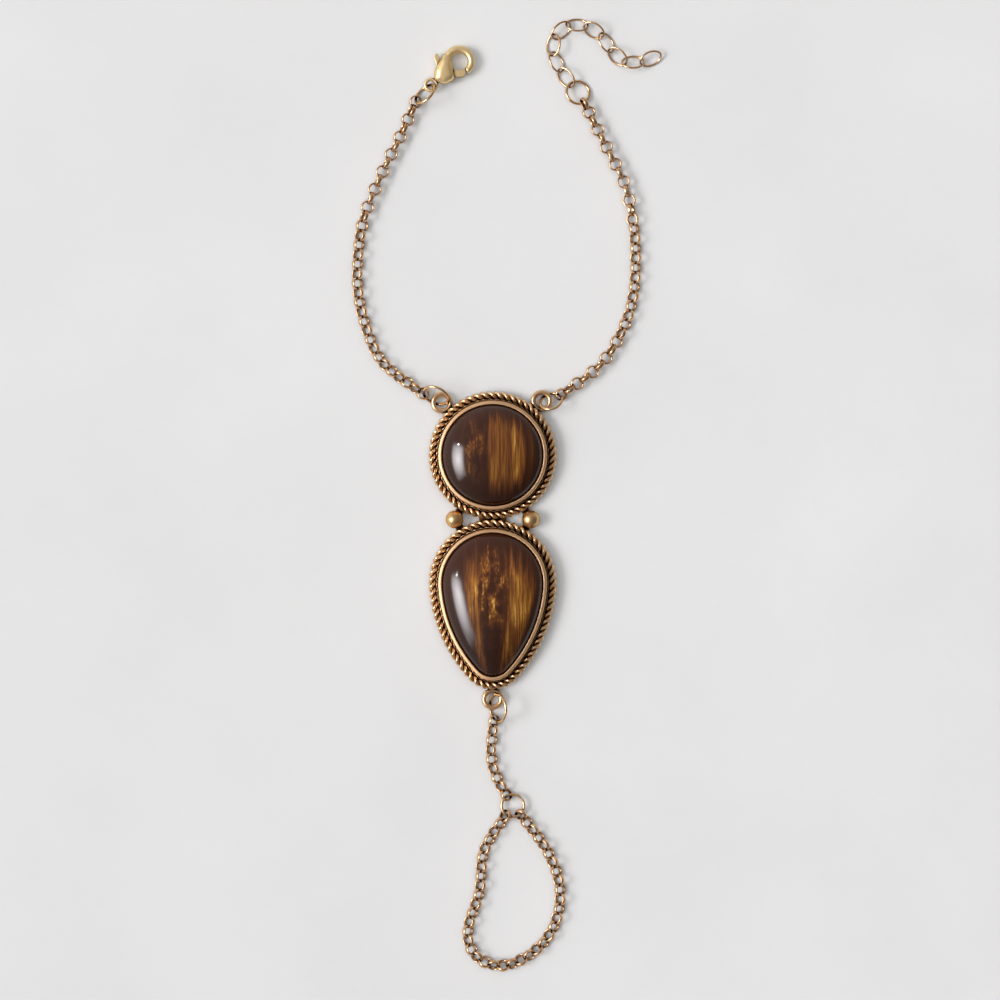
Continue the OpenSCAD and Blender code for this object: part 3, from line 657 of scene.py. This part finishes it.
def add_wire_ring(name, solid, seam, gap=0.05):
    """A closed jump ring with its two cut ends facing each other at the angle seam."""
    middle, axes, half = solid
    wire = 2 * half[2]
    radius = half[0] - half[2]
    u, v = np.array([1, 0, 0]), np.array([0, 1, 0])
    w = axes[2] if axes[2][2] > 0 else -axes[2]
    u = u - w * w[0]
    u /= np.linalg.norm(u)
    v = np.cross(w, u)
    count, sides = 72, 14
    ease = gap / 2 / radius
    angles = np.linspace(seam + ease, seam + 2 * math.pi - ease, count)
    verts = ring_points(middle, u, v, (radius, radius), wire, count, sides, angles)
    faces = grid_faces(count, sides)
    faces += [tuple(range(sides))[::-1], tuple(range((count - 1) * sides, count * sides))]
    return add_mesh(name, verts, faces, sharp=60)


ring_gold = metal_material("antique_gold_ring", metal=(0.8, 0.51, 0.26), worn=(1.0, 0.82, 0.57),
                           deposit=(0.035, 0.01, 0.001), depth=2.6, satin=0.23)
for node, seam in (("left_ring", 2.2), ("right_ring", 4.9), ("drop_ring", 0.6), ("finger_ring", 1.9),
                   ("clasp_ring", 3.4), ("extender_ring", 0.3)):
    ring = add_wire_ring(node + "_wire", loose_solids(node)[0], seam)
    ring.data.materials.append(ring_gold)
    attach(ring, "bracelet")
    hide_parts(node)

# Chains of round links
# Belcher chain of plated brass: each link is a round band of flattened wire, soldered shut and set
# at a quarter turn to the next one. The plating is dark inside the links and worn bright outside.
link_t = 0.32
link_w = 0.7


def add_link_chain(name, node):
    """One rounded link for each loose solid of the chain's node."""
    count = 30
    squareness = 0.8
    corners = [(math.cos(t), math.sin(t)) for t in np.arange(12) * math.pi / 6]
    section = [(link_t / 2 * math.copysign(abs(c) ** squareness, c),
                link_w / 2 * math.copysign(abs(s) ** squareness, s)) for c, s in corners]
    verts, faces = [], []
    for middle, axes, half in loose_solids(node):
        start = len(verts)
        for i in range(count):
            t = 2 * math.pi * i / count
            out = math.cos(t) * axes[0] + math.sin(t) * axes[1]
            verts += [middle + (half[0] - link_t / 2 + r) * out + h * axes[2] for r, h in section]
        faces += grid_faces(count, len(section), start, closed_rows=True)
    return add_mesh(name, verts, faces)


chain_gold = metal_material("rose_gold_chain", metal=(0.82, 0.51, 0.28), worn=(1.0, 0.82, 0.61),
                            deposit=(0.022, 0.006, 0.001), depth=4.2, satin=0.24)
for node in ("left_chain", "right_chain", "drop_chain", "finger_chain"):
    chain = add_link_chain(node + "_links", node)
    chain.data.materials.append(chain_gold)
    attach(chain, "bracelet")
    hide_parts(node)

# Extender
# Ten open oval links of thin round wire, plated brass like the chains, the last one free. The
# clasp hooks into any of them, or into the ring at their start.
oval_verts, oval_faces = [], []
for middle, axes, half in loose_solids("extender_chain"):
    count, sides = 52, 12
    wire = 2 * half[2]
    start = len(oval_verts)
    oval_verts += ring_points(middle, axes[0], axes[1], (half[0] - half[2], half[1] - half[2]), wire,
                              count, sides)
    oval_faces += grid_faces(count, sides, start, closed_rows=True)
extender = add_mesh("extender_links", oval_verts, oval_faces)
extender_gold = metal_material("rose_gold_extender", metal=(0.78, 0.49, 0.26), worn=(1.0, 0.81, 0.58),
                               deposit=(0.035, 0.01, 0.002), depth=2.7, satin=0.22)
extender.data.materials.append(extender_gold)
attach(extender, "bracelet")
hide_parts("extender_chain")

# Lobster clasp
# The body, its hook and its eye are one casting of pale brass. A flat lever turns on a pin through
# the body: its thumb tab stands out on one side, its gate closes the hook on the other.
pivot = np.array(frame["joints"][0]["pos_m"]) / mm
clasp_angle = math.radians(40)
clasp_t = 2 * pivot[2]
along = np.array([math.cos(clasp_angle), math.sin(clasp_angle), 0])
aside = np.array([-along[1], along[0], 0])
pin_x, pin_y = 3.1, 0.5
eye_at = pivot - pin_x * along - pin_y * aside


def clasp_point(x, y, z=0.0):
    """A point drawn in the clasp's own plane, with the eye at its origin, in the frame."""
    return eye_at + x * along + y * aside + np.array([0, 0, z])


def applied(piece, *modifiers):
    """The piece with the given modifiers worked into its mesh."""
    for kind, settings in modifiers:
        modifier = piece.modifiers.new(kind.lower(), kind)
        for key, value in settings.items():
            setattr(modifier, key, value)
    shaped = bpy.data.meshes.new_from_object(piece.evaluated_get(bpy.context.evaluated_depsgraph_get()))
    piece.modifiers.clear()
    piece.data = shaped
    return piece


def cast_piece(name, meshes, voxel=0.055, rounds=8):
    """Overlapping closed shapes, given in millimetres, fused into one softly rounded casting."""
    verts, faces = [], []
    for shape_verts, shape_faces in meshes:
        faces += [tuple(i + len(verts) for i in face) for face in shape_faces]
        verts += [tuple(v) for v in shape_verts]
    mesh = bpy.data.meshes.new(name)
    mesh.from_pydata(verts, [], faces)
    piece = bpy.data.objects.new(name, mesh)
    bpy.context.collection.objects.link(piece)
    return applied(piece, ("REMESH", {"mode": "VOXEL", "voxel_size": voxel, "use_smooth_shade": True}),
                   ("SMOOTH", {"factor": 0.5, "iterations": rounds}))


def pillow(pads, middle, half_t, count=72, rows=16):
    """A puffed form over the outline around a few round pads given as (x, y, radius)."""
    edge_power, face_power = 0.65, 0.9
    angles = [2 * math.pi * j / count for j in range(count)]
    reaches = [max((x - middle[0]) * math.cos(a) + (y - middle[1]) * math.sin(a) + r for x, y, r in pads)
               for a in angles]
    outline = []
    for j, (a, reach) in enumerate(zip(angles, reaches)):
        slope = (reaches[(j + 1) % count] - reach) / (2 * math.pi / count)
        outline.append((middle[0] + reach * math.cos(a) - slope * math.sin(a),
                        middle[1] + reach * math.sin(a) + slope * math.cos(a)))
    points = []
    for row in range(rows + 1):
        u = math.pi * row / rows
        k = math.sin(u) ** edge_power
        z = half_t * math.copysign(abs(math.cos(u)) ** face_power, math.cos(u))
        points += [clasp_point(middle[0] + (x - middle[0]) * k, middle[1] + (y - middle[1]) * k, z)
                   for x, y in outline]
    ends = [tuple(range(count)), tuple(range(rows * count, (rows + 1) * count))[::-1]]
    return points, grid_faces(rows + 1, count) + ends


def bent_rod(centre, radius, start, end, thick, count=60, sides=20):
    """A round rod bent about centre, from start to end in degrees; thick gives its two radii."""
    rounded_end = (0.55, 0.85, 1.0)
    verts = []
    for i, t in enumerate(np.radians(np.linspace(start, end, count))):
        r = thick[0] + (thick[1] - thick[0]) * i / (count - 1)
        r *= rounded_end[min(i, count - 1 - i, 2)]
        for k in range(sides):
            b = 2 * math.pi * k / sides
            verts.append(clasp_point(centre[0] + (radius + r * math.cos(b)) * math.cos(t),
                                     centre[1] + (radius + r * math.cos(b)) * math.sin(t), r * math.sin(b)))
    ends = [tuple(range(sides))[::-1], tuple(range((count - 1) * sides, count * sides))]
    return verts, grid_faces(count, sides) + ends


hook_at = (6.4, 0)
hook_bend_r = 2.12
hook_tip_r = 0.61
hook_root_r = hook_tip_r + 0.12
body_at = (3.35, 0.2)
body_pads = [(1.9, 0.1, 0.85), (2.6, -0.7, 0.98), (3.4, -0.85, 0.98), (2.6, 0.75, 0.92), (4.2, 0.95, 1.1),
             (5, 1.85, 0.8)]
clasp_body = cast_piece("clasp_cast_body", [
    pillow(body_pads, body_at, clasp_t / 2),
    bent_rod(hook_at, hook_bend_r, start=-95, end=150, thick=(hook_tip_r, hook_root_r))])
# The slot in which the lever swings, drawn around its pin: out past the thumb tab, along the arc
# that the gate's end sweeps, and back to the pin.
gate_sweep_r = 4.03
sweep_start, sweep_end = 1.7, -56
slot_half = 0.6
slot = [(-0.65, -0.45), (-0.65, -0.1), (-0.9, 1.45), (-0.95, 3.6), (1.5, 3.6), (1.42, 2.8),
        (1.08, 1.9), (0.8, 0.75), (1.2, 0.5), (2.1, 0.12)]
slot += [(gate_sweep_r * math.cos(t), gate_sweep_r * math.sin(t))
         for t in np.radians(np.linspace(sweep_start, sweep_end, 12))]
slot += [(1.85, -3.1), (1.25, -2.65), (0.78, -2.1), (0.55, -1.6)]
cutter_points = [clasp_point(pin_x + x, pin_y + y, z) for z in (-slot_half, slot_half) for x, y in slot]
n = len(slot)
cutter_mesh = bpy.data.meshes.new("slot_cutter")
cutter_mesh.from_pydata([tuple(c) for c in cutter_points], [],
                        grid_faces(2, n) + [tuple(range(n))[::-1], tuple(range(n, 2 * n))])
cutter = bpy.data.objects.new("slot_cutter", cutter_mesh)
bpy.context.collection.objects.link(cutter)
applied(clasp_body, ("BOOLEAN", {"operation": "DIFFERENCE", "object": cutter, "solver": "EXACT"}))
bpy.data.objects.remove(cutter)
clasp_eye_wire = 0.58
count, sides = 56, 16
clasp_eye = add_mesh("clasp_eye", ring_points(eye_at, along, aside, (1, 1), clasp_eye_wire, count, sides),
                     grid_faces(count, sides, closed_rows=True))
lever_mesh = frame["nodes"]["clasp_lever"].data
lever_points = [tuple(np.array(v.co) / mm) for v in lever_mesh.vertices]
lever_faces = [tuple(f.vertices) for f in lever_mesh.polygons]
clasp_lever = cast_piece("clasp_thumb_lever", [(lever_points, lever_faces)], voxel=0.045, rounds=5)
for piece in (clasp_body, clasp_lever):
    piece.data.transform(Matrix.Scale(mm, 4))
    piece.data.shade_smooth()
clasp_body.data.set_sharp_from_angle(angle=math.radians(50))
pale_brass = metal_material("pale_brass", metal=(0.93, 0.7, 0.35), worn=(1.0, 0.84, 0.54),
                            deposit=(0.045, 0.022, 0.005), depth=3.0, satin=0.37,
                            edge=(0.3, 0.2, 0.09), metallic=0.85)
for piece, node, body in ((clasp_body, "clasp_body", "bracelet"), (clasp_eye, "clasp_body", "bracelet"),
                          (clasp_lever, "clasp_lever", "lever")):
    piece.data.materials.clear()
    piece.data.materials.append(pale_brass)
    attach(piece, body)
    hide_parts(node)
pin = frame["nodes"]["clasp_pin"]
pin.data.materials.clear()
pin.data.materials.append(pale_brass)

# Table, light and camera
# The bracelet lies on a pale matt sheet under a tall window at its left, with soft light all round,
# and is seen from straight above with a long lens.
sheet_half = 0.9 / mm
sheet_z = -0.02
table = add_mesh("table", [(x * sheet_half, y * sheet_half, sheet_z)
                           for x, y in ((-1, -1), (1, -1), (1, 1), (-1, 1))], [(0, 1, 2, 3)])
table_paint, tree, shader = new_material("pale_sheet")
place = add_node(tree, "ShaderNodeTexCoord").outputs["Object"]
mottle = add_node(tree, "ShaderNodeTexNoise", [("Vector", place), ("Scale", 24.0),
                                               ("Detail", 5.0)]).outputs[0]
colour = add_ramp(tree, mottle, [(0.3, (0.585, 0.598, 0.598)), (0.7, (0.618, 0.632, 0.632))])
tree.links.new(colour, shader.inputs["Base Color"])
weave = add_node(tree, "ShaderNodeTexNoise", [("Vector", place), ("Scale", 380.0),
                                              ("Detail", 4.0)]).outputs[0]
relief = add_node(tree, "ShaderNodeBump", [("Height", weave), ("Distance", 0.00012), ("Strength", 0.4)])
tree.links.new(relief.outputs[0], shader.inputs["Normal"])
shader.inputs["Roughness"].default_value = 0.85
shader.inputs["Specular IOR Level"].default_value = 0.2
table.data.materials.append(table_paint)

world = bpy.data.worlds.new("soft_room")
bpy.context.scene.world = world
world.use_nodes = True
sky = world.node_tree
# Walls: a warm grey, brighter near the floor and towards the window's side.
brighter_side = (-0.8, 0.55, 0.0)
direction = add_node(sky, "ShaderNodeTexCoord").outputs["Generated"]
towards = add_node(sky, "ShaderNodeSeparateXYZ", [(0, direction)])
height = add_ramp(sky, towards.outputs[2], [(0.0, (0.36, 0.335, 0.32)), (0.3, (0.31, 0.288, 0.275)),
                                            (0.62, (0.24, 0.222, 0.214)), (1.0, (0.225, 0.207, 0.2))])
brighter = add_node(sky, "ShaderNodeVectorMath", [(0, direction), (1, brighter_side)],
                    operation="DOT_PRODUCT").outputs["Value"]
upper = add_node(sky, "ShaderNodeMapRange", [("Value", brighter), ("From Min", -0.85), ("From Max", 0.85),
                                             ("To Min", 0.35), ("To Max", 2.0)]).outputs[0]
# Window: on a wall at the left, one unit away, with soft edges given as (place, softness) along
# the wall and up it. It is brightest at the glare's middle and dims out to the glare's radius.
window_sides = ((-0.72, 0.1), (0.31, -0.1))
window_ends = ((0.6, 0.1), (1.5, -0.18))
glare_at = (-0.1, 1.05, 0)
glare_r = 0.56
inward = math_node(sky, "MAXIMUM", math_node(sky, "MULTIPLY", towards.outputs[0], -1.0), 0.02)
along_wall = math_node(sky, "DIVIDE", towards.outputs[1], inward)
up_wall = math_node(sky, "DIVIDE", towards.outputs[2], inward)
window = None
for value, edges in ((along_wall, window_sides), (up_wall, window_ends)):
    for edge, soft in edges:
        step = add_node(sky, "ShaderNodeMapRange", [("Value", value), ("From Min", edge - soft),
                                                    ("From Max", edge + soft)],
                        interpolation_type="SMOOTHSTEP").outputs[0]
        window = math_node(sky, "MULTIPLY", window, step) if window else step
spot = add_node(sky, "ShaderNodeCombineXYZ", [(0, along_wall), (1, up_wall)]).outputs[0]
off_glare = add_node(sky, "ShaderNodeVectorMath", [(0, spot), (1, glare_at)],
                     operation="DISTANCE").outputs["Value"]
falloff = add_node(sky, "ShaderNodeMapRange", [("Value", off_glare), ("From Max", glare_r), ("To Min", 19.0),
                                               ("To Max", 3.0)]).outputs[0]
window = math_node(sky, "MULTIPLY", window, falloff)
pane = add_node(sky, "ShaderNodeVectorMath", [(0, (1.0, 0.965, 0.985))], operation="SCALE")
sky.links.new(window, pane.inputs["Scale"])
glow = add_node(sky, "ShaderNodeVectorMath", [(0, height)], operation="SCALE")
sky.links.new(upper, glow.inputs["Scale"])
light = add_node(sky, "ShaderNodeVectorMath", [(0, glow.outputs[0]), (1, pane.outputs[0])]).outputs[0]
sky.links.new(light, sky.nodes["Background"].inputs["Color"])


def add_lamp(name, direction, distance, size, power, mirrored=True):
    """A rectangular soft lamp that faces the setting; one that isn't mirrored only fills shadows."""
    light = bpy.data.lights.new(name, "AREA")
    light.shape = "RECTANGLE"
    light.size, light.size_y = size
    light.energy = power
    lamp = bpy.data.objects.new(name, light)
    bpy.context.collection.objects.link(lamp)
    lamp.location = Vector(direction).normalized() * distance
    lamp.rotation_euler = Vector(direction).to_track_quat("Z", "Y").to_euler()
    lamp.visible_glossy = mirrored


add_lamp("lamp_left", (-0.683, 0.227, 0.695), distance=0.98, size=(0.035, 0.05), power=0.3)
add_lamp("fill_above", (0, 0.1, 1), distance=1.1, size=(1.3, 1.3), power=7.9, mirrored=False)
bpy.context.scene.view_settings.view_transform = "Standard"

photo_px = 1000
px_size = 0.175 * mm
photo_middle = (1.28 * mm, -7.79 * mm)
lens = 120
sensor = 36
camera_data = bpy.data.cameras.new("camera")
camera_data.lens = lens
camera_data.sensor_width = sensor
camera = bpy.data.objects.new("camera", camera_data)
bpy.context.collection.objects.link(camera)
camera.location = (*photo_middle, photo_px * px_size * lens / sensor)
bpy.context.scene.camera = camera
